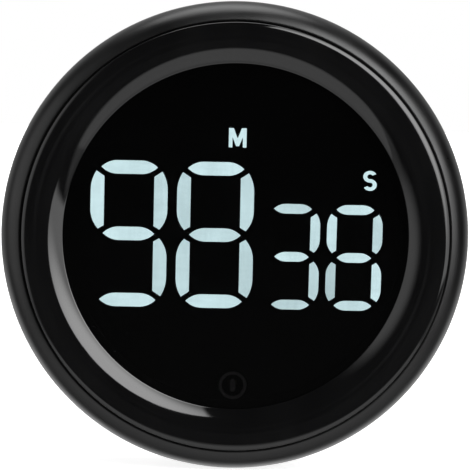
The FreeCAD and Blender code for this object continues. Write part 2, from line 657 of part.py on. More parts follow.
# ---------------------------------------------------------------- rear cover
def rear_cover():
    """Back shell with the battery bay, magnet pockets, sound holes and switch slot."""
    corner = REAR_RADIUS - REAR_EDGE_ROUND
    pen = Pen(on_section, 0, 0).line(corner, 0)
    pen.arc(arc_point((corner, REAR_EDGE_ROUND), REAR_EDGE_ROUND, -45), (REAR_RADIUS, REAR_EDGE_ROUND))
    pen.line(REAR_RADIUS, REAR_SHOULDER).line(SPIGOT_RADIUS, REAR_SHOULDER).line(SPIGOT_RADIUS, SPIGOT_END)
    pen.line(SPIGOT_BORE, SPIGOT_END).line(SPIGOT_BORE, 6.4).line(34.6, 5.4).line(34.6, SKIN).line(0, SKIN)
    shell = turn(pen.face())
    inside = SKIN - 0.2                     # inner features start a little inside the skin
    bay_front = BAY_END + BAY_FLOOR
    bay = slab(BAY_LENGTH + 2 * BAY_WALL, BAY_HEIGHT + 2 * BAY_WALL, 3.0, inside, bay_front)
    corners = housing_screw_spots()
    added = [shell, bay]
    added += [rod(3.0, inside, 8.95, x, z) for x, z in corners]
    added += [rod(MAGNET_RADIUS + 1.4, inside, 3.4, side * FEATURE_X, FEATURE_Z) for side in (-1, 1)]
    added.append(rod(2.8, inside, SPIGOT_END, 0, ENCODER_Z))
    added.append(rod(7.3, inside, 4.6, -FEATURE_X, -FEATURE_Z))
    added.append(block(15.5, 8.0, inside, 2.4, FEATURE_X, -FEATURE_Z))
    added += [rod(1.2, inside, SWITCH_FRONT, x, z) for x, z in switch_screw_spots()]
    added.append(block(6.0, 13.8, inside, 5.8, -29.4, 0))
    added += plate_rails()
    added += [block(44.0, 1.2, 11.4, BAY_END + 0.2, 0, z) for z in (-TAB_Z, TAB_Z)]
    cover = joined(added)

    gap = 2 * DOOR_GAP
    cuts = [
        slab(DOOR_LENGTH + gap, DOOR_HEIGHT + gap, DOOR_CORNER + DOOR_GAP, -1, SKIN),
        slab(BAY_LENGTH, BAY_HEIGHT, 1.5, SKIN - 0.5, BAY_END),
    ]
    for z in (-TAB_Z, TAB_Z):               # openings in the bay's end wall for the door's tabs
        cuts.append(block(4.4, TAB_WIDTH + 0.6, SKIN, 4.0, 26.8, z))
    # Latch pocket: a wide mouth for the tongue, a narrower one for the thumb, and room below.
    cuts.append(block(4.4, 11.4, -1, SKIN, -28.2, 0))
    cuts.append(slab(7.0, 8.0, 1.5, -1, SKIN, -28.7, 0))
    cuts.append(block(4.6, 11.4, SKIN - 0.01, 5.0, -29.3, 0))
    for x, z in corners:                    # screw holes with head recesses
        cuts += [rod(1.1, -1, 12, x, z), rod(2.1, -1, 3.0, x, z)]
    cuts += [rod(MAGNET_RADIUS + 0.05, -1, MAGNET_THICKNESS, side * FEATURE_X, FEATURE_Z)
             for side in (-1, 1)]
    cuts.append(rod(1.56, 7.6, 12, 0, ENCODER_Z))
    cuts += [rod(6.4, 3.4, 6, -FEATURE_X, -FEATURE_Z), rod(5.8, SKIN, 6, -FEATURE_X, -FEATURE_Z)]
    cuts += [rod(0.65, -1, SKIN + 1, x, z) for x, z in sound_holes()]
    cuts.append(slab(10.4, 4.6, 2.28, -1, 1.2, FEATURE_X, -FEATURE_Z))
    cuts.append(slab(6.8, 2.0, 0.6, 0, 3, FEATURE_X, -FEATURE_Z))
    cuts += [rod(0.6, 3.0, 8, x, z) for x, z in switch_screw_spots()]
    for z, x in ((10.7, PLATE_X + 0.2), (-10.7, -PLATE_X - 0.2)):   # solder tabs pass the bay's floor
        cuts.append(block(1.0, 2.8, BAY_END - 1, bay_front + 1, x - math.copysign(0.2, x), z))
    # Volume marks: a small, a middle and a large engraved dot below the switch.
    cuts += [rod(size, -1, 0.25, FEATURE_X + dx, -FEATURE_Z - 3.9)
             for dx, size in ((-2.6, 0.3), (0.0, 0.5), (2.6, 0.7))]
    return cover.cut(cuts)


def plate_rails():
    """Lipped ribs on the bay's end walls that hold the edges of the contact plates."""
    back, front = PLATE_BACK - 0.1, BAY_END + 0.2
    wall, lip = BAY_LENGTH / 2, PLATE_X - 0.1
    rails = []

    def rail(side, z_low, z_high, x_near, x_far):
        centre_x, centre_z = side * (x_near + x_far) / 2, (z_low + z_high) / 2
        rails.append(block(x_far - x_near, z_high - z_low, back, front, centre_x, centre_z))

    for side in (-1, 1):
        middle = side * TAB_Z
        rail(side, middle - 0.7, middle + 0.7, lip - 0.3, wall + 0.2)
        rail(side, middle - 1.3, middle + 1.3, lip - 0.3, lip)
        for end in (-1, 1):
            near, far = sorted((end * 15.3, end * (BAY_HEIGHT / 2 + 0.2)))
            rail(side, near, far, lip - 0.3, wall + 0.2)
            near, far = sorted((end * 14.8, end * 15.4))
            rail(side, near, far, lip - 0.3, lip)
    return rails


def sound_holes():
    spots = [(0.0, 0.0)] + ring_of(2.1, range(0, 360, 60)) + ring_of(4.2, range(15, 375, 30))
    return [(x - FEATURE_X, z - FEATURE_Z) for x, z in spots]


def housing_screws():
    """Self-tapping screws through the rear cover into the middle frame."""
    screws = []
    for x, z in housing_screw_spots():
        head = rod(1.9, 1.6, 3.0, x, z)
        shank = rod(0.8, 3.0, 14.0, x, z)
        cross = [block(2.4, 0.45, 1, 2.3, x, z), block(0.45, 2.4, 1, 2.3, x, z)]
        screws.append(joined([head, shank]).cut(cross))
    return Part.makeCompound(screws)


# ---------------------------------------------------------------- battery door
def battery_door():
    """Door with two tabs that hook under the skin on one side and grip grooves on the other."""
    door = slab(DOOR_LENGTH, DOOR_HEIGHT, DOOR_CORNER, 0, DOOR_THICKNESS)
    tabs = []
    for z in (-TAB_Z, TAB_Z):
        tabs.append(block(2.2, TAB_WIDTH, DOOR_THICKNESS - 0.5, 2.8, 24.9, z))
        tabs.append(block(3.4, TAB_WIDTH, SKIN + 0.15, 2.8, 26.6, z))
    ribs = [block(34.0, 0.8, DOOR_THICKNESS - 0.3, DOOR_THICKNESS + 0.6, 0, z) for z in (-5.35, 5.35)]
    door = joined([door] + tabs + ribs)
    grooves = [slab(0.8, 12.0, 0.35, -1, 0.3, -23.4 + 1.7 * k, 0) for k in range(5)]
    notch = block(2.0, 10.8, -1, DOOR_THICKNESS + 1, -25.95, 0)
    return door.cut(grooves + [notch])


def door_latch():
    """Springy U-shaped tongue on the door's edge, with two hooks and a thumb pad."""
    width = 10.4

    def strip(outline, breadth, z=0.0):
        """Solid with a side view in (distance left of centre, depth), as broad as asked along Z."""
        pen = Pen(lambda u, v: Vector(-u, -v, z - breadth / 2), *outline[0])
        for corner in outline[1:]:
            pen.line(*corner)
        return pen.face().extrude(Vector(0, 0, breadth))

    tongue = strip([(24.95, 0), (28.0, 0), (28.0, 3.5), (29.5, 3.5), (29.5, 0.9), (30.2, 0.9),
                    (30.2, 4.2), (27.3, 4.2), (27.3, 1.2), (24.95, 1.2)], width)
    hooks = [strip([(30.2, 1.75), (30.8, 1.95), (30.8, 2.3), (30.2, 2.6)], 1.1, z) for z in (-4.65, 4.65)]
    pad = strip([(29.5, 0.3), (31.6, 0.3), (31.6, 1.1), (29.5, 1.1)], 7.2)
    grips = [block(0.35, 6.4, 0.0, 0.5, -30.0 - 0.8 * k, 0) for k in range(2)]
    return joined([tongue, pad] + hooks).cut(grips)


# ---------------------------------------------------------------- cells and contacts
def battery_cell(z, plus_side):
    """AAA cell along X: rolled jacket, recessed end plates and a positive button."""
    def along(x, radius):
        return Vector(plus_side * (CELL_TIP_X - x), -CELL_DEPTH + radius, z)

    button, button_length, rolled = 1.9, 1.0, 0.4
    pen = Pen(along, 0, 0).line(0, button - 0.2).line(0.2, button).line(button_length, button)
    pen.line(button_length, 3.9).line(button_length - 0.25, 4.1)
    pen.line(button_length - 0.25, CELL_RADIUS - rolled).line(button_length + 0.15, CELL_RADIUS)
    pen.line(CELL_LENGTH - rolled, CELL_RADIUS).line(CELL_LENGTH, CELL_RADIUS - rolled)
    pen.line(CELL_LENGTH, 4.3).line(CELL_LENGTH - 0.2, 4.1).line(CELL_LENGTH - 0.2, 3.8)
    pen.line(CELL_LENGTH, 3.6).line(CELL_LENGTH, 0)
    axis_at = Vector(0, -CELL_DEPTH, z)
    return pen.face().revolve(axis_at, Vector(1, 0, 0), 360)


def contact_plate(side, z_low, z_high, bumps=(), solder_tab=None):
    """Flat contact on one end wall of the bay, with a bump for each positive button."""
    middle_x = side * (PLATE_X + PLATE_THICKNESS / 2)
    plate = block(PLATE_THICKNESS, z_high - z_low, PLATE_BACK, PLATE_FRONT, middle_x, (z_low + z_high) / 2)
    pieces = [plate]
    for z in bumps:
        pieces.append(Part.makeCylinder(1.3, 0.3, Vector(side * (PLATE_X - 0.3), -CELL_DEPTH, z),
                                        Vector(side, 0, 0)))
    if solder_tab is not None:
        pieces.append(block(PLATE_THICKNESS, 2.0, PLATE_FRONT - 0.1, 15.2, middle_x, solder_tab))
    return joined(pieces)


def contact_springs():
    """Tapered springs on the negative ends of the three cells."""
    springs = []
    length = PLATE_X - (CELL_LENGTH - CELL_TIP_X) - 0.62
    for side, z in ((-1, CELL_PITCH), (1, 0.0), (-1, -CELL_PITCH)):
        spring = coil(3.1, 2.1, length, 3.5, 0.6)
        spring.rotate(Vector(0, 0, 0), Vector(0, 1, 0), -90 * side)
        spring.translate(Vector(side * (PLATE_X - 0.31), -CELL_DEPTH, z))
        springs.append(spring)
    return Part.makeCompound(springs)


# ---------------------------------------------------------------- switch, buzzer and magnets
def magnet(side):
    """Nickel-plated disc with a chamfered face, flush with the back."""
    bevel = 0.3
    pen = Pen(on_section, 0, 0).line(MAGNET_RADIUS - bevel, 0).line(MAGNET_RADIUS, bevel)
    pen.line(MAGNET_RADIUS, MAGNET_THICKNESS).line(0, MAGNET_THICKNESS)
    disc = turn(pen.face())
    disc.translate(Vector(side * FEATURE_X, 0, FEATURE_Z))
    return disc


def piezo_disc():
    return rod(6.3, 3.4, 3.62, -FEATURE_X, -FEATURE_Z)


def piezo_ceramic():
    return rod(4.5, 3.62, 3.85, -FEATURE_X, -FEATURE_Z)


SWITCH_LENGTH, SWITCH_HEIGHT = 8.6, 4.4
SWITCH_BACK, SWITCH_FRONT = 4.2, 7.2


def switch_can():
    """Folded steel can of the slide switch, open in front and slotted for the lever."""
    wall = 0.3
    outer = block(SWITCH_LENGTH, SWITCH_HEIGHT, SWITCH_BACK, SWITCH_FRONT, FEATURE_X, -FEATURE_Z)
    inner = block(SWITCH_LENGTH - 2 * wall, SWITCH_HEIGHT - 2 * wall, SWITCH_BACK + wall, SWITCH_FRONT + 1,
                  FEATURE_X, -FEATURE_Z)
    slot = block(6.7, 1.9, SWITCH_BACK - 1, SWITCH_FRONT, FEATURE_X, -FEATURE_Z)
    return outer.cut([inner, slot])


def switch_lever():
    stem = block(2.2, 1.5, 3.4, 5.4, FEATURE_X, -FEATURE_Z)
    carriage = block(3.4, 3.2, 4.7, 6.6, FEATURE_X, -FEATURE_Z)
    return joined([stem, carriage])


def volume_slider():
    """Finger piece of the volume switch, with ribs that stay below the back face."""
    cap = slab(5.0, 3.6, 1.2, 0.35, 1.05, FEATURE_X, -FEATURE_Z)
    ribs = [block(0.45, 2.6, 0.1, 0.6, FEATURE_X + dx, -FEATURE_Z) for dx in (-1.2, 0.0, 1.2)]
    stem = block(2.4, 1.6, 0.9, 3.4, FEATURE_X, -FEATURE_Z)
    return joined([cap, stem] + ribs)


def switch_screw_spots():
    return [(FEATURE_X - 5.6, -FEATURE_Z), (FEATURE_X + 5.6, -FEATURE_Z)]


def switch_board():
    """Small board in front of the switch, its outer corner trimmed to the round housing."""
    front = SWITCH_FRONT + 1.0
    board = slab(13.4, 5.4, 0.6, SWITCH_FRONT, front, FEATURE_X, -FEATURE_Z)
    holes = [rod(0.8, SWITCH_FRONT - 1, front + 1, x, z) for x, z in switch_screw_spots()]
    return board.common(rod(SPIGOT_BORE - 0.3, SWITCH_FRONT, front)).cut(holes)


def switch_screws():
    screws = []
    for x, z in switch_screw_spots():
        head = rod(1.2, SWITCH_FRONT + 1.0, SWITCH_FRONT + 1.8, x, z)
        shank = rod(0.6, 3.4, SWITCH_FRONT + 1.0, x, z)
        cross = block(1.6, 0.3, SWITCH_FRONT + 1.4, SWITCH_FRONT + 2, x, z)
        screws.append(joined([head, shank]).cut(cross))
    return Part.makeCompound(screws)


# ---------------------------------------------------------------- internal wiring
def battery_lead(positive):
    """Wire from a terminal plate's solder tab, along the bay's front, to its pocket in the socket."""
    depth = 15.25
    if positive:
        points = [spot(24.0, depth, 10.7), spot(21.5, depth, 10.2), spot(19.6, depth, 6.6),
                  spot(18.2, 15.8, 3.75), spot(15.6, 15.8, 3.75)]
    else:
        points = [spot(-24.0, depth, -10.7), spot(-19.0, depth, -12.4), spot(-10.0, depth, -13.2),
                  spot(4.0, depth, -12.6), spot(14.0, depth, -10.6), spot(20.2, depth, -5.2),
                  spot(19.6, 15.5, 0.4), spot(18.0, 15.8, 1.25), spot(15.6, 15.8, 1.25)]
    return lead(points, 0.45)


def buzzer_leads():
    wires = []
    for dx in (-1.2, 1.2):
        x = -FEATURE_X + dx
        points = [spot(x, 3.85, -25.4), spot(x, 8.0, -25.4), spot(x, 12.6, -24.5),
                  spot(x, WEB_FRONT, -24.5)]
        wires.append(lead(points, 0.35))
    return Part.makeCompound(wires)


def switch_leads():
    wires = []
    for dx in (-1.6, 0.0, 1.6):
        x = FEATURE_X + dx
        points = [spot(x, SWITCH_FRONT + 1.0, -25.4), spot(x, 11.0, -25.4),
                  spot(x, 14.0, -24.5), spot(x, WEB_FRONT, -24.5)]
        wires.append(lead(points, 0.35))
    return Part.makeCompound(wires)


# ---------------------------------------------------------------- the whole timer
def build():
    lit, unlit = segment_solids(SEGMENT_BACK, DISPLAY_FRONT)
    marks = [minute_letter(SEGMENT_BACK, DISPLAY_FRONT), second_letter(SEGMENT_BACK, DISPLAY_FRONT)]
    upper, lower = CELL_PITCH, -CELL_PITCH
    return {
        "front_lens": front_lens(),
        "touch_icon": touch_icon(),
        "lens_gasket": lens_gasket(),
        "display_block": display_block(),
        "lit_segments": Part.makeCompound(lit),
        "unlit_segments": Part.makeCompound(unlit),
        "unit_marks": Part.makeCompound(marks),
        "segment_leds": segment_leds(),
        "main_board": main_board(),
        "board_screws": board_screws(),
        "controller_chip": controller_chip(),
        "chip_leads": chip_leads(),
        "board_parts": board_parts(),
        "wire_socket": wire_socket(),
        "touch_spring": touch_spring(),
        "mid_frame": mid_frame(),
        "dial_ring": dial_ring(),
        "gear_ring": gear_ring(),
        "encoder_body": encoder_body(),
        "encoder_shaft": encoder_shaft(),
        "encoder_pinion": encoder_pinion(),
        "rear_cover": rear_cover(),
        "housing_screws": housing_screws(),
        "battery_door": battery_door(),
        "door_latch": door_latch(),
        "battery_cell_upper": battery_cell(upper, 1),
        "battery_cell_middle": battery_cell(0.0, -1),
        "battery_cell_lower": battery_cell(lower, 1),
        "positive_plate": contact_plate(1, 6.2, 15.2, bumps=(upper,), solder_tab=upper),
        "negative_plate": contact_plate(-1, -15.2, -6.2, solder_tab=lower),
        "link_plate_right": contact_plate(1, -15.2, 4.5, bumps=(lower,)),
        "link_plate_left": contact_plate(-1, -4.5, 15.2, bumps=(0.0,)),
        "contact_springs": contact_springs(),
        "magnet_left": magnet(-1),
        "magnet_right": magnet(1),
        "piezo_disc": piezo_disc(),
        "piezo_ceramic": piezo_ceramic(),
        "switch_can": switch_can(),
        "switch_lever": switch_lever(),
        "volume_slider": volume_slider(),
        "switch_board": switch_board(),
        "switch_screws": switch_screws(),
        "battery_lead_positive": battery_lead(True),
        "battery_lead_negative": battery_lead(False),
        "buzzer_leads": buzzer_leads(),
        "switch_leads": switch_leads(),
    }


def main():
    os.makedirs("parts", exist_ok=True)
    for name, shape in build().items():
        solids = shape.Solids
        shape = solids[0] if len(solids) == 1 else Part.makeCompound(solids)
        print(f"{name}: {len(solids)} solids, {shape.Volume:.1f} mm3, valid {shape.isValid()}")
        shape.exportStep(os.path.join("parts", name + ".step"))


main()
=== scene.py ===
"""Looks of the kitchen timer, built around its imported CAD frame, in metres. It faces -Y, and +Z is up."""

import json
import math

import bmesh
import bpy
import numpy as np
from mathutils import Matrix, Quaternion, Vector


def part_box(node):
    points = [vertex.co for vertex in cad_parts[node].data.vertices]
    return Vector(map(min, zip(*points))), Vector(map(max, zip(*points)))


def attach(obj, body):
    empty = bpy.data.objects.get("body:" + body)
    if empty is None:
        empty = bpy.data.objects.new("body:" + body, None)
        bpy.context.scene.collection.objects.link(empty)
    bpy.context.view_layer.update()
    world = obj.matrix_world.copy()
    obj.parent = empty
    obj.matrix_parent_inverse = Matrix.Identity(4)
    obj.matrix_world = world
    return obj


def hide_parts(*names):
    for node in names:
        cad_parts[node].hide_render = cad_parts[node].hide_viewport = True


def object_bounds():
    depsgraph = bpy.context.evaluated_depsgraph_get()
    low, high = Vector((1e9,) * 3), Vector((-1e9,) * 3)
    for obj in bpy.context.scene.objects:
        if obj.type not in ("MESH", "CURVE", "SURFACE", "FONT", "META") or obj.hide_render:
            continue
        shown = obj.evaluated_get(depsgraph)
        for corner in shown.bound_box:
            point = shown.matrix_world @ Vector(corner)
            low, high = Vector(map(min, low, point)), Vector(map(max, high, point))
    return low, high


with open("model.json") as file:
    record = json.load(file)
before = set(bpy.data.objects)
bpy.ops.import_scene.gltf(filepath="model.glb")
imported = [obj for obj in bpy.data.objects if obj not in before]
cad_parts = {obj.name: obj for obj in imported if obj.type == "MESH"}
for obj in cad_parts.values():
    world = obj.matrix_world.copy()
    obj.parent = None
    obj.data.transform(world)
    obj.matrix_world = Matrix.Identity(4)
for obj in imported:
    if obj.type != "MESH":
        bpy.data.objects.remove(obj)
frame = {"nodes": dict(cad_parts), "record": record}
CAD_LOW, CAD_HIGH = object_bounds()

MM = 0.001

# Sections of the round pieces that are rebuilt here, as in the CAD source: radii and depths in millimetres,
# depth measured forward from the back face.
WINDOW_RADIUS = 28.7
CREST_RADIUS = 32.8
RIM_INNER_SECTION = 7.0
RIM_OUTER_SECTION = 9.6
RIM_TURN_RADIUS = 34.8      # where the outer slope starts to turn down more quickly
RIM_TURN_SECTION = 1.6
RIM_TURN_LEAN = 33.0        # degrees of lean where the small edge round takes over
LENS_WALL = 1.8
CREASE_ROUND = 0.12         # run of the hollow round between the window and the rim, on either side
LENS_EDGE_ROUND = 0.2
LENS_FOOT_BEVEL = 0.1
LENS_AIR_GAP = 0.03         # between the window's underside and the key symbol printed behind it
LENS_SEGMENTS = 384

SHELL_BORE = 37.0
SHELL_SHOULDER = 20.9
SHOULDER_REACH, SHOULDER_RISE = 4.2, 5.2     # half axes of the shoulder's ellipse
LIP_BORE = 35.6
LIP_ROUND = 0.3
LIP_UNDERSIDE = 23.5
SHELL_BACK_ROUND = 0.8
SHELL_BORE_BEVEL = 0.15
FLUTES = 120
FLUTE_RADIUS = 1.0
FLUTE_DEPTH = 0.35
FLUTE_BACK, FLUTE_FRONT = 10.2, 18.6
FLUTE_END_ROUND = 0.5
FLUTE_STEPS = (0.0, 0.15, 0.4, 0.8, 2.0)     # cross-sections of the band, inward from each of its ends
FLUTE_SEGMENTS = 10

# Colours of the cells' printed film, and where it changes on either side of the middle, in millimetres.
FILM_GREEN, FILM_BLACK = (0.02, 0.075, 0.05), (0.012, 0.012, 0.014)
FILM_GOLD, FILM_CAP = (0.55, 0.4, 0.16), (0.6, 0.6, 0.6)
GOLD_START, GOLD_END, CAP_START = 12.4, 13.0, 22.6

# Brightness of each lit segment: its lamps are not evenly matched. Digits from left to right.
LAMP_STRENGTH = 5.15
LAMPS = (
    {"a": 0.93, "b": 0.81, "c": 0.78, "d": 0.885, "f": 0.90, "g": 0.93},
    {"a": 0.92, "b": 0.81, "c": 0.78, "d": 0.875, "e": 0.79, "f": 0.78, "g": 0.85},
    {"a": 0.815, "b": 0.875, "c": 0.76, "d": 0.775, "g": 0.94},
    {"a": 0.90, "b": 0.82, "c": 0.93, "d": 0.86, "e": 0.65, "f": 0.92, "g": 0.91},
)
MARK_LAMP = 1.0
UPRIGHT_OFFSET = 0.12       # an upright segment is further from its digit's middle, in digit heights

# Nodes that look different from the rest of their slot: the sensing spring gets a dark finish as painted
# shade, so that it catches no glint behind the smoked window.
MATERIAL_OF_NODE = {"touch_spring": "blackened_steel"}

# Panels of light that reflections see. An edge is the way the panel lies from it, in degrees clockwise from
# the top, then its tilt and softness. A patch is its place in degrees clockwise and degrees off the display's
# axis, then its radius and softness. A reach is a pair of values of how far ahead a direction points.
ROOM_LEVEL = 0.016
KEY_NEAR_EDGE = 65, 0.462, 0.02
KEY_LEFT_EDGE = 102.8, -0.045, 0.015
KEY_LOWER_EDGE = 9.4, -0.107, 0.03
KEY_FAR_REACH = -0.38, -0.2
KEY_CENTRE = 46, 41
KEY_CENTRE_SPREAD = 0.83, 0.99       # cosines of the angles from its centre between which it brightens
KEY_LEVELS = 2.2, 7.3                # at its edge and at its centre
TABLE_NEAR_EDGE = 180, 0.53, 0.07
TABLE_MIDDLE_EDGES = (210.8, 0.0, 0.012), (158.2, 0.32, 0.015)
TABLE_SIDE_EDGES = (193, 0.0, 0.04), (150, 0.0, 0.1)
TABLE_SHARES = 0.55, 0.45            # of its middle part and of its whole width
TABLE_FADES = ((-0.5, -0.36), 0.68), ((-0.3, 0.1), 0.6), ((0.1, 0.3), 0)     # reach, and level beyond it
TABLE_LEVEL = 1.02
FILL_PATCH = 280, 70, 30, 14
FILL_EDGE = 225, 0.0, 0.2
FILL_LEVEL = 1.1
OVERHEAD_PATCH = -2, 105, 18, 6
OVERHEAD_LEVEL = 4.4
BACKDROP_REACH = 0.25, 0.75
BACKDROP_HEIGHTS = -0.35, -0.05
BACKDROP_LEVELS = 1.3, 0.5           # low down, where the white floor joins it, and above
GLOW_LEFT_PATCH = 280, 8, 3.5, 2.0
GLOW_LEFT_LEVEL = 0.07
GLOW_TOP_INNER, GLOW_TOP_OUTER = (8, 6.5), (11, 9)      # degrees off the axis
GLOW_TOP_EDGE = 8, 0.0, 0.05
GLOW_TOP_LEVEL = 0.03
GLOW_LOW_EDGE = 180, 0.07, 0.05
GLOW_LOW_REACH = -0.95, -0.8
GLOW_LOW_LEVEL = 0.03

FLOOR_HALF = 4.0
FLOOR_GAP = 0.0002

# Camera, set to the photographed view: metres, degrees and millimetres of focal length.
CAMERA_DISTANCE = 0.6
CAMERA_AZIMUTH = -1.2
CAMERA_ELEVATION = 2.5
CAMERA_ROLL = 1.15
CAMERA_LENS = 275.1
CAMERA_SENSOR = 36.0
CAMERA_CLIP = 0.01, 20.0


# ---------------------------------------------------------------- node graphs
class Graph:
    """Writes a node tree. Each method adds one node and returns its output socket."""

    def __init__(self, tree):
        self.tree = tree
        tree.nodes.clear()

    def node(self, kind, inputs=None, **settings):
        made = self.tree.nodes.new(kind)
        for key, value in settings.items():
            setattr(made, key, value)
        for key, value in (inputs or {}).items():
            self.feed(made.inputs[key], value)
        return made

    def feed(self, socket, value):
        if isinstance(value, bpy.types.NodeSocket):
            self.tree.links.new(value, socket)
        else:
            socket.default_value = value

    def place(self):
        """Position in the object's own frame, which is the shared frame."""
        return self.node("ShaderNodeTexCoord").outputs["Object"]

    def direction(self):
        """In a world's tree, the direction that a ray looks in."""
        return self.node("ShaderNodeTexCoord").outputs["Generated"]

    def calc(self, operation, a, b=0.0):
        return self.node("ShaderNodeMath", {0: a, 1: b}, operation=operation).outputs[0]

    def sum(self, a, b):
        return self.calc("ADD", a, b)

    def product(self, first, *others):
        result = first
        for other in others:
            result = self.calc("MULTIPLY", result, other)
        return result

    def ramp(self, value, low, high, start=0.0, end=1.0):
        """Smooth change from start to end as value goes from low to high."""
        inputs = {"Value": value, "From Min": low, "From Max": high, "To Min": start, "To Max": end}
        return self.node("ShaderNodeMapRange", inputs, interpolation_type="SMOOTHSTEP").outputs[0]

    def stretch(self, vector, scale):
        return self.node("ShaderNodeMapping", {"Vector": vector, "Scale": scale}).outputs[0]

    def dot(self, vector, other):
        inputs = {0: vector, 1: other}
        return self.node("ShaderNodeVectorMath", inputs, operation="DOT_PRODUCT").outputs["Value"]

    def length(self, vector):
        return self.node("ShaderNodeVectorMath", {0: vector}, operation="LENGTH").outputs["Value"]

    def vector(self, x=0.0, y=0.0, z=0.0):
        return self.node("ShaderNodeCombineXYZ", {0: x, 1: y, 2: z}).outputs[0]

    def axis(self, vector, letter):
        return self.node("ShaderNodeSeparateXYZ", {0: vector}).outputs[letter]

    def noise(self, vector, size, detail=3.0):
        """Noise from 0 to 1 whose features are about size metres across."""
        inputs = {"Vector": vector, "Scale": 1.0 / size, "Detail": detail, "Roughness": 0.5}
        return self.node("ShaderNodeTexNoise", inputs).outputs["Fac"]

    def cells(self, vector, size, feature="F1"):
        """Distance in a pattern of cells that are about size metres across."""
        inputs = {"Vector": vector, "Scale": 1.0 / size}
        return self.node("ShaderNodeTexVoronoi", inputs, feature=feature).outputs["Distance"]

    def blend(self, factor, a, b):
        """Colour that goes from a to b as factor goes from 0 to 1."""
        made = self.node("ShaderNodeMix", data_type="RGBA")
        self.feed(made.inputs[0], factor)
        color_a, color_b, result = made.inputs[6], made.inputs[7], made.outputs[2]
        for socket, value in ((color_a, a), (color_b, b)):
            self.feed(socket, (*value, 1.0) if isinstance(value, tuple) else value)
        return result

    def bump(self, height, depth, strength=1.0, normal=None):
        inputs = {"Height": height, "Distance": depth, "Strength": strength}
        if normal is not None:
            inputs["Normal"] = normal
        return self.node("ShaderNodeBump", inputs).outputs[0]

    def soft_edges(self, radius):
        """Surface direction with every edge rounded by radius metres."""
        return self.node("ShaderNodeBevel", {"Radius": radius}, samples=6).outputs[0]


def surface(name, **sockets):
    """New material: its graph and its Principled shader with constant sockets set."""
    material = bpy.data.materials.new(name)
    material.use_nodes = True
    graph = Graph(material.node_tree)
    shader = graph.node("ShaderNodeBsdfPrincipled")
    for key, value in sockets.items():
        shader.inputs[key.replace("_", " ")].default_value = value
    output = graph.node("ShaderNodeOutputMaterial")
    graph.feed(output.inputs["Surface"], shader.outputs[0])
    return material, graph, shader


def grey(level):
    return (level, level, level)


def shade(color, factor):
    return tuple(min(1.0, c * factor) for c in color)


def moulded_plastic(name, color, roughness, grain=0.12 * MM, depth=0.004 * MM, edge=0.12 * MM, specular=0.5):
    """Moulded plastic: eroded-tool grain, slow gloss changes, faint rubbing marks and softened edges."""
    material, graph, shader = surface(name, IOR=1.5, Specular_IOR_Level=specular)
    at = graph.place()
    cloud = graph.noise(at, 9 * MM, detail=4.0)
    fleck = graph.noise(at, grain * 2.5, detail=2.0)
    rubbed = graph.cells(graph.stretch(at, (1.0, 0.25, 1.6)), 2.3 * MM)
    tone = graph.sum(graph.product(cloud, 0.6), graph.product(fleck, 0.4))
    graph.feed(shader.inputs["Base Color"],
               graph.blend(graph.ramp(tone, 0.3, 0.7), shade(color, 0.82), shade(color, 1.2)))
    spread = 0.05
    gloss = graph.sum(graph.ramp(cloud, 0.25, 0.75, roughness - spread, roughness + spread),
                      graph.ramp(rubbed, 0.0, 0.12, -0.04, 0.0))
    graph.feed(shader.inputs["Roughness"], gloss)
    height = graph.sum(graph.noise(at, grain, detail=1.0), graph.product(cloud, 0.5))
    graph.feed(shader.inputs["Normal"], graph.bump(height, depth, normal=graph.soft_edges(edge)))
    return material


def plated_metal(name, color, roughness, brush=(1.0, 1.0, 1.0), scratch=0.2 * MM, edge=0.06 * MM):
    """Plated or rolled metal: fine lay in one direction, dull patches and hairline scratches."""
    material, graph, shader = surface(name, Metallic=1.0)
    at = graph.place()
    lay = graph.noise(graph.stretch(at, brush), scratch, detail=3.0)
    patch = graph.noise(at, 3 * MM, detail=3.0)
    lines = graph.cells(graph.stretch(at, (1.0, 1.0, 7.0)), 1.1 * MM, feature="DISTANCE_TO_EDGE")
    graph.feed(shader.inputs["Base Color"],
               graph.blend(graph.ramp(patch, 0.3, 0.75), shade(color, 0.86), shade(color, 1.06)))
    gloss = graph.sum(graph.ramp(lay, 0.3, 0.7, roughness * 0.75, roughness * 1.3),
                      graph.ramp(lines, 0.0, 0.03, 0.12, 0.0))
    graph.feed(shader.inputs["Roughness"], gloss)
    graph.feed(shader.inputs["Normal"], graph.bump(lay, 0.002 * MM, normal=graph.soft_edges(edge)))
    return material


# ---------------------------------------------------------------- special materials
def rim_gloss():
    """Polished black rim of the lens, with faint wipe marks and turning rings."""
    material, graph, shader = surface("rim_gloss", IOR=1.5, Specular_IOR_Level=0.5)
    at = graph.place()
    wipe = graph.noise(graph.stretch(at, (1.0, 1.0, 0.35)), 7 * MM, detail=5.0)
    speck = graph.noise(at, 0.25 * MM, detail=2.0)
    # Faint rings about the axis, as left by turning the mould, that come and go around the rim.
    radius = graph.length(graph.stretch(at, (1.0, 0.0, 1.0)))
    rings = graph.noise(graph.vector(radius, graph.product(wipe, 1.5 * MM)), 0.55 * MM, detail=2.0)
    graph.feed(shader.inputs["Base Color"],
               graph.blend(graph.ramp(wipe, 0.3, 0.7), (0.0020, 0.0020, 0.0021), (0.0028, 0.0028, 0.0029)))
    gloss = graph.sum(graph.ramp(wipe, 0.35, 0.75, 0.045, 0.075), graph.ramp(speck, 0.7, 0.8, 0.0, 0.05))
    graph.feed(shader.inputs["Roughness"], gloss)
    ripple = graph.bump(rings, 0.004 * MM)
    graph.feed(shader.inputs["Normal"], graph.bump(wipe, 0.004 * MM, strength=0.4, normal=ripple))
    return material


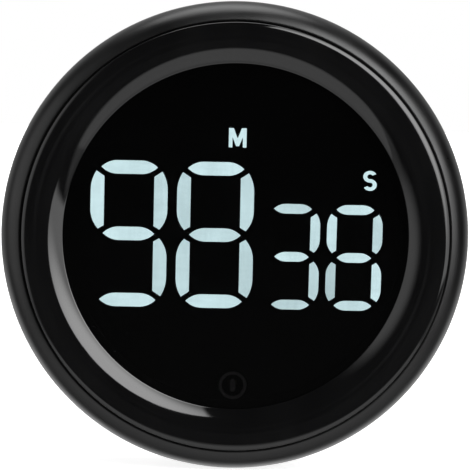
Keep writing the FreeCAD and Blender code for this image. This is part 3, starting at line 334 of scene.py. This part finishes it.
def smoked_window():
    """Clear smoked window: dark tint in the resin, faint wipe marks on its faces."""
    material, graph, shader = surface("smoked_window", IOR=1.49, Transmission_Weight=1.0)
    at = graph.place()
    wipe = graph.noise(graph.stretch(at, (0.5, 1.0, 1.0)), 9 * MM, detail=5.0)
    graph.feed(shader.inputs["Base Color"],
               graph.blend(graph.ramp(wipe, 0.2, 0.8), (0.175, 0.178, 0.18), (0.19, 0.193, 0.195)))
    graph.feed(shader.inputs["Roughness"], graph.ramp(wipe, 0.45, 0.85, 0.0, 0.012))
    return material


def lit_resin(name, color, strength):
    """Milky resin lit from behind: flow streaks along each bar, soft pools, and each lamp's own level."""
    material, graph, shader = surface(name, IOR=1.5, Roughness=0.5)
    at = graph.place()
    along_z = graph.noise(graph.stretch(at, (1.0, 1.0, 0.12)), 0.42 * MM, detail=2.0)
    along_x = graph.noise(graph.stretch(at, (0.12, 1.0, 1.0)), 0.42 * MM, detail=2.0)
    pool = graph.noise(at, 5.5 * MM, detail=1.0)
    streak = graph.product(along_z, along_x)
    evenness = graph.sum(graph.ramp(streak, 0.12, 0.42, -0.04, 0.04), graph.ramp(pool, 0.3, 0.7, 0.95, 1.03))
    lamp = graph.node("ShaderNodeAttribute", attribute_name="lamp").outputs["Fac"]
    level = graph.product(evenness, graph.product(lamp, strength))
    glow = graph.blend(graph.ramp(pool, 0.3, 0.7), shade(color, 0.97), color)
    graph.feed(shader.inputs["Base Color"], graph.blend(pool, (0.1, 0.105, 0.105), (0.13, 0.135, 0.135)))
    graph.feed(shader.inputs["Emission Color"], glow)
    graph.feed(shader.inputs["Emission Strength"], level)
    graph.feed(shader.inputs["Normal"], graph.bump(streak, 0.01 * MM))
    return material


def dark_resin():
    """The same milky resin with its lamp off."""
    material, graph, shader = surface("segment_unlit", IOR=1.5, Roughness=0.5)
    at = graph.place()
    streak = graph.noise(graph.stretch(at, (1.0, 1.0, 0.12)), 0.42 * MM, detail=2.0)
    color = graph.blend(streak, grey(0.004), grey(0.007))
    graph.feed(shader.inputs["Base Color"], color)
    graph.feed(shader.inputs["Normal"], graph.bump(streak, 0.01 * MM))
    return material


def circuit_board():
    """Solder mask over copper tracks, with the glass weave just showing."""
    material, graph, shader = surface("board", IOR=1.5)
    at = graph.place()
    track = graph.ramp(graph.cells(at, 2.6 * MM, feature="DISTANCE_TO_EDGE"), 0.035, 0.06, 1.0, 0.0)
    weave = graph.product(graph.noise(graph.stretch(at, (0.1, 1.0, 1.0)), 0.3 * MM),
                          graph.noise(graph.stretch(at, (1.0, 1.0, 0.1)), 0.3 * MM))
    mask = graph.blend(graph.ramp(weave, 0.1, 0.4), (0.004, 0.055, 0.022), (0.006, 0.075, 0.03))
    graph.feed(shader.inputs["Base Color"], graph.blend(track, mask, (0.02, 0.14, 0.05)))
    graph.feed(shader.inputs["Roughness"], graph.ramp(weave, 0.1, 0.4, 0.28, 0.4))
    graph.feed(shader.inputs["Normal"], graph.bump(track, 0.03 * MM))
    return material


def cell_sleeve():
    """Printed film shrunk over a cell: two colours, a gold line, and a bare metal cap at each end."""
    material, graph, shader = surface("cell_sleeve", IOR=1.5)
    at = graph.place()
    from_middle = graph.calc("ABSOLUTE", graph.axis(at, "X"))

    def beyond(distance):
        return graph.ramp(from_middle, distance * MM, (distance + 0.1) * MM)

    black, bare = beyond(GOLD_END), beyond(CAP_START)
    gold = graph.product(beyond(GOLD_START), graph.calc("SUBTRACT", 1.0, black))
    rub = graph.noise(graph.stretch(at, (0.2, 1.0, 1.0)), 1.2 * MM, detail=5.0)
    film = graph.blend(black, FILM_GREEN, FILM_BLACK)
    film = graph.blend(gold, film, FILM_GOLD)
    film = graph.blend(bare, film, FILM_CAP)
    film = graph.blend(graph.ramp(rub, 0.62, 0.8, 0.0, 0.25), film, grey(0.2))
    graph.feed(shader.inputs["Base Color"], film)
    graph.feed(shader.inputs["Metallic"], bare)
    graph.feed(shader.inputs["Roughness"], graph.ramp(rub, 0.3, 0.7, 0.2, 0.38))
    graph.feed(shader.inputs["Normal"], graph.bump(rub, 0.02 * MM, strength=0.4))
    return material


def foam():
    """Open-pored black foam."""
    material, graph, shader = surface("foam", Roughness=0.9)
    at = graph.place()
    pores = graph.cells(at, 0.35 * MM)
    graph.feed(shader.inputs["Base Color"], graph.blend(pores, grey(0.006), grey(0.018)))
    graph.feed(shader.inputs["Normal"], graph.bump(pores, 0.08 * MM))
    return material


def ink_with_painted_glow(name, color, strength):
    """Thin mottled ink with a faint painted glow in place of the light falling on it behind the window."""
    material, graph, shader = surface(name, Roughness=0.6, Emission_Strength=strength)
    mottle = graph.noise(graph.place(), 0.3 * MM, detail=3.0)
    graph.feed(shader.inputs["Base Color"], graph.blend(mottle, shade(color, 0.8), color))
    # Painted glow: the ink's own emission stands in for light reaching it through the smoked window.
    graph.feed(shader.inputs["Emission Color"], graph.blend(mottle, shade(color, 0.85), color))
    graph.feed(shader.inputs["Normal"], graph.bump(mottle, 0.005 * MM))
    return material


def floor_paint():
    """Pale matt studio floor with its own faint glow, so that it stays white to the horizon."""
    material, graph, shader = surface("floor_paint", Roughness=0.9, Emission_Strength=0.86)
    mottle = graph.noise(graph.place(), 0.05, detail=4.0)
    graph.feed(shader.inputs["Base Color"], graph.blend(mottle, grey(0.66), grey(0.7)))
    shader.inputs["Emission Color"].default_value = (1.0, 1.0, 1.0, 1.0)
    return material


def make_materials():
    """One material per slot of the record, under the slot's name, and the two of the lens."""
    insulation = dict(grain=0.5 * MM, depth=0.01 * MM, edge=0.05 * MM)
    nylon = dict(grain=0.3 * MM, depth=0.006 * MM, edge=0.08 * MM)
    return {
        "rim_gloss": rim_gloss(),
        "smoked_window": smoked_window(),
        "dial_plastic": moulded_plastic("dial_plastic", (0.0022, 0.0022, 0.0023), 0.33, grain=0.1 * MM,
                                        depth=0.002 * MM, edge=0.05 * MM, specular=0.42),
        "housing_plastic": moulded_plastic("housing_plastic", (0.014, 0.014, 0.0145), 0.5, grain=0.16 * MM,
                                           depth=0.008 * MM, edge=0.2 * MM),
        "gear_plastic": moulded_plastic("gear_plastic", grey(0.012), 0.35, depth=0.001 * MM),
        "frame_plastic": moulded_plastic("frame_plastic", grey(0.01), 0.5),
        "display_plastic": moulded_plastic("display_plastic", grey(0.003), 0.75),
        "pinion_plastic": moulded_plastic("pinion_plastic", (0.62, 0.6, 0.55), 0.35, **nylon),
        "socket_plastic": moulded_plastic("socket_plastic", (0.66, 0.62, 0.52), 0.4, **nylon),
        "switch_plastic": moulded_plastic("switch_plastic", grey(0.3), 0.4, **nylon),
        "chip_resin": moulded_plastic("chip_resin", (0.012, 0.012, 0.013), 0.55, grain=0.08 * MM),
        "wire_red": moulded_plastic("wire_red", (0.4, 0.008, 0.008), 0.35, **insulation),
        "wire_black": moulded_plastic("wire_black", grey(0.01), 0.35, **insulation),
        "wire_white": moulded_plastic("wire_white", (0.6, 0.6, 0.58), 0.35, **insulation),
        "led_resin": moulded_plastic("led_resin", (0.62, 0.58, 0.34), 0.3, **nylon),
        "small_parts": moulded_plastic("small_parts", (0.25, 0.17, 0.1), 0.4, **nylon),
        "buzzer_ceramic": moulded_plastic("buzzer_ceramic", (0.6, 0.58, 0.52), 0.3, grain=0.2 * MM),
        "tinned_metal": plated_metal("tinned_metal", grey(0.68), 0.3),
        "spring_steel": plated_metal("spring_steel", (0.62, 0.6, 0.57), 0.25, brush=(0.2, 1.0, 1.0)),
        "blackened_steel": plated_metal("blackened_steel", grey(0.03), 0.45),
        "screw_steel": plated_metal("screw_steel", (0.45, 0.45, 0.46), 0.32),
        "magnet_plating": plated_metal("magnet_plating", (0.62, 0.61, 0.58), 0.16, scratch=0.6 * MM,
                                       edge=0.12 * MM),
        "switch_steel": plated_metal("switch_steel", grey(0.55), 0.3, brush=(0.15, 1.0, 1.0)),
        "buzzer_brass": plated_metal("buzzer_brass", (0.72, 0.5, 0.2), 0.25, brush=(0.2, 1.0, 1.0)),
        "board": circuit_board(),
        "cell_sleeve": cell_sleeve(),
        "foam": foam(),
        "segment_lit": lit_resin("segment_lit", (0.742, 0.968, 1.0), LAMP_STRENGTH),
        "segment_unlit": dark_resin(),
        # The icon print gets a faint painted glow.
        "icon_print": ink_with_painted_glow("icon_print", (0.075, 0.07, 0.072), 0.3),
    }


# ---------------------------------------------------------------- round pieces
def arc(centre, radius, start, end, steps):
    """Points on an arc of a profile, from start to end degrees."""
    angles = np.radians(np.linspace(start, end, steps + 1))
    return [(centre[0] + radius * math.cos(a), centre[1] + radius * math.sin(a)) for a in angles]


def stepped(point, degrees, distance):
    """The point that lies distance away from a point, in the direction given in degrees."""
    return (point[0] + distance * math.cos(math.radians(degrees)),
            point[1] + distance * math.sin(math.radians(degrees)))


def angle_at(centre, point):
    return math.degrees(math.atan2(point[1] - centre[1], point[0] - centre[0]))


def turned(name, profile, segments, radius_at=None, sharp=38.0):
    """Mesh object turned about the Y axis from (radius, depth) points in millimetres.

    A radius of 0 closes the end with a fan. radius_at(radius, depth, angles) may vary a point's radius
    around the axis. Returns the object and, for each face, the index of its profile span.
    """
    angles = np.linspace(0, 2 * math.pi, segments, endpoint=False)
    points, rows = [], []
    for radius, depth in profile:
        if radius == 0:
            rows.append([len(points)])
            points.append((0.0, -depth * MM, 0.0))
            continue
        radii = radius_at(radius, depth, angles) if radius_at else np.full(segments, radius)
        rows.append(list(range(len(points), len(points) + segments)))
        points += [(r * math.cos(a) * MM, -depth * MM, r * math.sin(a) * MM) for r, a in zip(radii, angles)]
    faces, spans = [], []
    closed = profile[0][0] != 0
    pairs = list(zip(rows, rows[1:] + rows[:1])) if closed else list(zip(rows, rows[1:]))
    for span, (near, far) in enumerate(pairs):
        for k in range(segments):
            n = (k + 1) % segments
            if len(near) == 1:
                faces.append((near[0], far[n], far[k]))
            elif len(far) == 1:
                faces.append((near[k], near[n], far[0]))
            else:
                faces.append((near[k], near[n], far[n], far[k]))
            spans.append(span)
    mesh = bpy.data.meshes.new(name)
    mesh.from_pydata(points, [], faces)
    shell = bmesh.new()
    shell.from_mesh(mesh)
    bmesh.ops.recalc_face_normals(shell, faces=shell.faces)
    shell.to_mesh(mesh)
    shell.free()
    mesh.shade_smooth()
    mesh.set_sharp_from_angle(angle=math.radians(sharp))
    made = bpy.data.objects.new(name, mesh)
    bpy.context.scene.collection.objects.link(made)
    return made, spans


def make_lens(materials):
    """Smoked lens: flat window, rounded crease, raised glossy rim and skirt."""
    low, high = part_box("front_lens")
    front, seat = -low.y / MM, -high.y / MM
    inside = (CREST_RADIUS, front - RIM_INNER_SECTION)
    outside = (CREST_RADIUS, front - RIM_OUTER_SECTION)

    def rim_depth(radius, wall=0.0):
        """Depth of the rim's face at a radius, or of its underside for a wall's thickness."""
        section = RIM_INNER_SECTION if radius < CREST_RADIUS else RIM_OUTER_SECTION
        return front - section + math.sqrt((section - wall) ** 2 - (radius - CREST_RADIUS) ** 2)

    window = rim_depth(WINDOW_RADIUS)
    under = window - LENS_WALL + LENS_AIR_GAP
    hollow = RIM_INNER_SECTION - LENS_WALL
    under_radius = CREST_RADIUS - math.sqrt(hollow ** 2 - (under - inside[1]) ** 2)
    # The crease is a hollow round that runs level into the window and along the slope into the rim.
    crease_start = (WINDOW_RADIUS - CREASE_ROUND, window)
    corner = (WINDOW_RADIUS, window)
    slope_start = (WINDOW_RADIUS + CREASE_ROUND, rim_depth(WINDOW_RADIUS + CREASE_ROUND))
    crease = []
    for t in np.linspace(0, 1, 7):
        weights = ((1 - t) ** 2, 2 * t * (1 - t), t * t)
        crease.append(tuple(sum(weight * point[i] for weight, point in
                                zip(weights, (crease_start, corner, slope_start))) for i in (0, 1)))
    flat_end = WINDOW_RADIUS - 2 * CREASE_ROUND
    front_face = [(0, window), (flat_end, window)] + crease
    rim = arc(inside, RIM_INNER_SECTION, angle_at(inside, slope_start), 90, 32)[1:]
    turn_start = (RIM_TURN_RADIUS, rim_depth(RIM_TURN_RADIUS))
    first = angle_at(outside, turn_start)
    last = 90 - RIM_TURN_LEAN
    rim += arc(outside, RIM_OUTER_SECTION, 90, first, 12)[1:]
    rim += arc(stepped(turn_start, first, -RIM_TURN_SECTION), RIM_TURN_SECTION, first, last, 16)[1:]
    bend = arc(stepped(rim[-1], last, -LENS_EDGE_ROUND), LENS_EDGE_ROUND, last, 0, 8)[1:]
    outer = bend[-1][0]
    skirt = [(outer, seat + LENS_FOOT_BEVEL), (outer - LENS_FOOT_BEVEL, seat), (outer - LENS_WALL, seat)]
    skirt_top = (outer - LENS_WALL, rim_depth(outer - LENS_WALL, LENS_WALL))
    below = arc(outside, RIM_OUTER_SECTION - LENS_WALL, angle_at(outside, skirt_top), 90, 8)
    below += arc(inside, hollow, 90, angle_at(inside, (under_radius, under)), 20)[1:]
    profile = front_face + rim + bend + skirt + below + [(under_radius - 0.1, under), (0, under)]
    lens, spans = turned("lens_smoked", profile, LENS_SEGMENTS, sharp=20.0)
    lens.data.materials.append(materials["smoked_window"])
    lens.data.materials.append(materials["rim_gloss"])
    # The clear window is the flat face and its underside; everything else is backed with black.
    window_spans = set(range(len(front_face) - len(crease) + 1)) | {len(profile) - 2, len(profile) - 3}
    for face, span in zip(lens.data.polygons, spans):
        face.material_index = 0 if span in window_spans else 1
    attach(lens, "housing")
    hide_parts("front_lens")


def slope(turn):
    """Direction square to the shoulder's ellipse at the parameter turn."""
    across, along = math.cos(turn) / SHOULDER_REACH, math.sin(turn) / SHOULDER_RISE
    return across / math.hypot(across, along), along / math.hypot(across, along)


def make_dial(materials):
    """Dial shell: rounded satin lip, smooth shoulder and a band of shallow grip flutes."""
    _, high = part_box("dial_ring")
    outer = high.x / MM
    back = -high.y / MM
    plain = 0.3
    depths = [FLUTE_BACK - plain] + [FLUTE_BACK + step for step in FLUTE_STEPS]
    depths += [(FLUTE_BACK + FLUTE_FRONT) / 2] + [FLUTE_FRONT - step for step in reversed(FLUTE_STEPS)]
    side = [(outer, depth) for depth in depths + [FLUTE_FRONT + plain]]
    # The shoulder runs up its ellipse until it meets the lip's round.
    hub = outer - SHOULDER_REACH
    turn = 0.0
    while hub + SHOULDER_REACH * math.cos(turn) - LIP_ROUND * slope(turn)[0] > LIP_BORE + LIP_ROUND:
        turn += 0.0005
    shoulder = [(hub + SHOULDER_REACH * math.cos(a), SHELL_SHOULDER + SHOULDER_RISE * math.sin(a))
                for a in np.linspace(0, turn, 33)]
    lean = slope(turn)
    centre = (LIP_BORE + LIP_ROUND, shoulder[-1][1] - LIP_ROUND * lean[1])
    lip = arc(centre, LIP_ROUND, math.degrees(math.atan2(lean[1], lean[0])), 180, 10)[1:]
    back_edge = arc((outer - SHELL_BACK_ROUND, back + SHELL_BACK_ROUND), SHELL_BACK_ROUND, -90, 0, 8)
    inside = [(LIP_BORE, LIP_UNDERSIDE), (SHELL_BORE, LIP_UNDERSIDE), (SHELL_BORE, back + SHELL_BORE_BEVEL),
              (SHELL_BORE + SHELL_BORE_BEVEL, back)]
    profile = back_edge + side + shoulder + lip + inside
    pitch = 2 * math.pi / FLUTES
    flute_centre = outer + FLUTE_RADIUS - FLUTE_DEPTH

    def fluted(radius, depth, angles):
        """Radius around the shell: a shallow round hollow in each pitch, fading out at the band's ends."""
        if abs(radius - outer) > 1e-6 or not FLUTE_BACK < depth < FLUTE_FRONT:
            return np.full(len(angles), radius)
        inset = min(depth - FLUTE_BACK, FLUTE_FRONT - depth, FLUTE_END_ROUND) / FLUTE_END_ROUND
        fade = math.sqrt(1 - (1 - inset) ** 2)
        off = (angles + pitch / 2) % pitch - pitch / 2
        across = flute_centre * np.sin(off)
        hollow = flute_centre * np.cos(off) - np.sqrt(np.maximum(FLUTE_RADIUS ** 2 - across ** 2, 0))
        hollow = np.where(np.abs(across) < FLUTE_RADIUS, hollow, radius)
        return radius - np.clip(radius - hollow, 0, FLUTE_DEPTH) * fade

    dial, _ = turned("dial_shell", profile, FLUTES * FLUTE_SEGMENTS, radius_at=fluted)
    dial.data.materials.append(materials["dial_plastic"])
    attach(dial, "dial")
    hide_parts("dial_ring")


def dress_nodes(materials):
    """Gives each CAD node that is shown as it is the material of its slot."""
    slots = {part["node"]: part["material_slot"] for part in frame["record"]["subparts"]}
    for name, node in frame["nodes"].items():
        if slots[name] not in materials:
            continue
        node.data.materials.clear()
        node.data.materials.append(materials[MATERIAL_OF_NODE.get(name, slots[name])])


def islands(mesh):
    """Connected pieces of a mesh, each as a list of face numbers and its centre."""
    links = [set() for _ in mesh.vertices]
    spots = {}
    for vertex in mesh.vertices:
        spots.setdefault(tuple(round(c, 7) for c in vertex.co), []).append(vertex.index)
    for same in spots.values():
        links[same[0]].update(same)
    for edge in mesh.edges:
        one, other = edge.vertices
        links[one].add(other)
        links[other].add(one)
    for one, others in enumerate(links):
        for other in list(others):
            links[other].add(one)
    piece = {}
    for seed in range(len(links)):
        if seed in piece:
            continue
        queue = [seed]
        piece[seed] = seed
        while queue:
            for other in links[queue.pop()]:
                if other not in piece:
                    piece[other] = seed
                    queue.append(other)
    found = {}
    for face in mesh.polygons:
        found.setdefault(piece[face.vertices[0]], []).append(face.index)
    centres = []
    for faces in found.values():
        points = np.array([mesh.vertices[v].co for f in faces for v in mesh.polygons[f].vertices])
        centres.append((points.min(axis=0) + points.max(axis=0)) / 2)
    return list(zip(found.values(), centres))


def light_lamps():
    """Writes each lit segment's brightness on its faces."""
    for name in ("lit_segments", "unit_marks"):
        mesh = frame["nodes"][name].data
        lamp = mesh.attributes.new("lamp", "FLOAT", "FACE")
        lamp.data.foreach_set("value", [MARK_LAMP] * len(mesh.polygons))
    mesh = frame["nodes"]["lit_segments"].data
    pieces = sorted(islands(mesh), key=lambda piece: piece[1][0])
    lamp = mesh.attributes["lamp"]
    start = 0
    for levels in LAMPS:
        digit = pieces[start:start + len(levels)]
        start += len(levels)
        low = np.min([centre for _, centre in digit], axis=0)
        high = np.max([centre for _, centre in digit], axis=0)
        middle_x = np.median([centre[0] for _, centre in digit if abs(centre[2] - low[2]) < MM])
        for faces, centre in digit:
            tall = (centre[2] - low[2]) / (high[2] - low[2])
            side = (centre[0] - middle_x) / (high[2] - low[2])
            if abs(side) < UPRIGHT_OFFSET:
                letter = "dga"[round(tall * 2)]
            elif side > 0:
                letter = "b" if tall > 0.5 else "c"
            else:
                letter = "f" if tall > 0.5 else "e"
            for face in faces:
                lamp.data[face].value = levels[letter]


# ---------------------------------------------------------------- studio
def toward(clockwise, off_axis):
    """Direction seen from the timer: degrees clockwise from the top, and degrees off the display's axis."""
    turn, lean = math.radians(clockwise), math.radians(off_axis)
    return (math.sin(lean) * math.sin(turn), -math.cos(lean), math.sin(lean) * math.cos(turn))


def make_world():
    """White studio for the camera.

    Reflections see a dark room with soft panels: key at the upper right, fill at the left, one overhead, a
    pale table below, a white backdrop, and faint glows that the window and the rim's crest pick up.
    """
    world = bpy.data.worlds.new("studio")
    bpy.context.scene.world = world
    world.use_nodes = True
    graph = Graph(world.node_tree)
    view = graph.direction()

    def half(clockwise, lift, soft):
        """1 on the side that a plane faces, clockwise degrees from the top; lift tilts it back."""
        turn = math.radians(clockwise)
        return graph.ramp(graph.dot(view, (math.sin(turn), lift, math.cos(turn))), -soft, soft)

    def spot(clockwise, off_axis, radius, soft):
        """1 in a round patch; all in degrees."""
        near, far = math.cos(math.radians(radius - soft)), math.cos(math.radians(radius + soft))
        return graph.ramp(graph.dot(view, toward(clockwise, off_axis)), far, near)

    def bounded(*edges):
        return graph.product(*(half(*edge) for edge in edges))

    def cosines(angles):
        return [math.cos(math.radians(angle)) for angle in angles]

    ahead = graph.axis(view, "Y")
    key = graph.product(bounded(KEY_NEAR_EDGE, KEY_LEFT_EDGE, KEY_LOWER_EDGE),
                        graph.ramp(ahead, *KEY_FAR_REACH, 1, 0))
    key_level = graph.ramp(graph.dot(view, toward(*KEY_CENTRE)), *KEY_CENTRE_SPREAD, *KEY_LEVELS)
    shares = graph.sum(graph.product(bounded(*TABLE_MIDDLE_EDGES), TABLE_SHARES[0]),
                       graph.product(bounded(*TABLE_SIDE_EDGES), TABLE_SHARES[1]))
    fades = [graph.ramp(ahead, *reach, 1, level) for reach, level in TABLE_FADES]
    table = graph.product(half(*TABLE_NEAR_EDGE), shares, *fades)
    fill = graph.product(spot(*FILL_PATCH), half(*FILL_EDGE))
    backdrop = graph.product(graph.ramp(ahead, *BACKDROP_REACH),
                             graph.ramp(graph.axis(view, "Z"), *BACKDROP_HEIGHTS, *BACKDROP_LEVELS))
    along_axis = graph.product(ahead, -1.0)
    glow_top = graph.product(graph.ramp(along_axis, *cosines(GLOW_TOP_OUTER)),
                             graph.ramp(along_axis, *cosines(GLOW_TOP_INNER), 1, 0), half(*GLOW_TOP_EDGE))
    glow_low = graph.product(half(*GLOW_LOW_EDGE), graph.ramp(ahead, *GLOW_LOW_REACH, 1, 0))
    overhead, glow_left = spot(*OVERHEAD_PATCH), spot(*GLOW_LEFT_PATCH)
    panels = ((key, key_level), (table, TABLE_LEVEL), (fill, FILL_LEVEL), (overhead, OVERHEAD_LEVEL),
              (backdrop, 1.0), (glow_left, GLOW_LEFT_LEVEL), (glow_top, GLOW_TOP_LEVEL),
              (glow_low, GLOW_LOW_LEVEL))
    total = ROOM_LEVEL
    for mask, level in panels:
        total = graph.sum(total, graph.product(mask, level))
    seen = graph.node("ShaderNodeLightPath").outputs["Is Camera Ray"]
    lit = graph.node("ShaderNodeBackground", {"Color": (1, 1, 1, 1), "Strength": total})
    white = graph.node("ShaderNodeBackground", {"Color": (1, 1, 1, 1), "Strength": 1.0})
    mix = graph.node("ShaderNodeMixShader", {0: seen, 1: lit.outputs[0], 2: white.outputs[0]})
    output = graph.node("ShaderNodeOutputWorld")
    graph.feed(output.inputs["Surface"], mix.outputs[0])


def make_floor():
    """Pale floor under the timer. It isn't seen in reflections, where the table panel stands for it."""
    half, level = FLOOR_HALF, CAD_LOW.z - FLOOR_GAP
    mesh = bpy.data.meshes.new("studio_floor")
    corners = [(-half, -half, level), (half, -half, level), (half, half, level), (-half, half, level)]
    mesh.from_pydata(corners, [], [(0, 1, 2, 3)])
    mesh.materials.append(floor_paint())
    floor = bpy.data.objects.new("studio_floor", mesh)
    bpy.context.scene.collection.objects.link(floor)
    floor.visible_glossy = False
    floor.visible_transmission = False


def make_camera():
    """Camera aimed at the middle of the shoulder's widest ring."""
    low, high = CAD_LOW, CAD_HIGH
    target = Vector(((low.x + high.x) / 2, -SHELL_SHOULDER * MM, (low.z + high.z) / 2))
    azimuth, elevation = math.radians(CAMERA_AZIMUTH), math.radians(CAMERA_ELEVATION)
    back = Vector((math.sin(azimuth) * math.cos(elevation), -math.cos(azimuth) * math.cos(elevation),
                   math.sin(elevation)))
    data = bpy.data.cameras.new("camera")
    data.sensor_width = CAMERA_SENSOR
    data.lens = CAMERA_LENS
    data.clip_start, data.clip_end = CAMERA_CLIP
    camera = bpy.data.objects.new("camera", data)
    camera.location = target + back * CAMERA_DISTANCE
    camera.rotation_mode = "QUATERNION"
    roll = Quaternion((0, 0, 1), math.radians(CAMERA_ROLL))
    camera.rotation_quaternion = (-back).to_track_quat("-Z", "Y") @ roll
    bpy.context.scene.collection.objects.link(camera)
    bpy.context.scene.camera = camera


def main():
    scene = bpy.context.scene
    scene.view_settings.view_transform = "Standard"
    scene.cycles.use_denoising = True
    scene.cycles.max_bounces = 8
    materials = make_materials()
    dress_nodes(materials)
    light_lamps()
    make_lens(materials)
    make_dial(materials)
    make_world()
    make_floor()
    make_camera()


main()
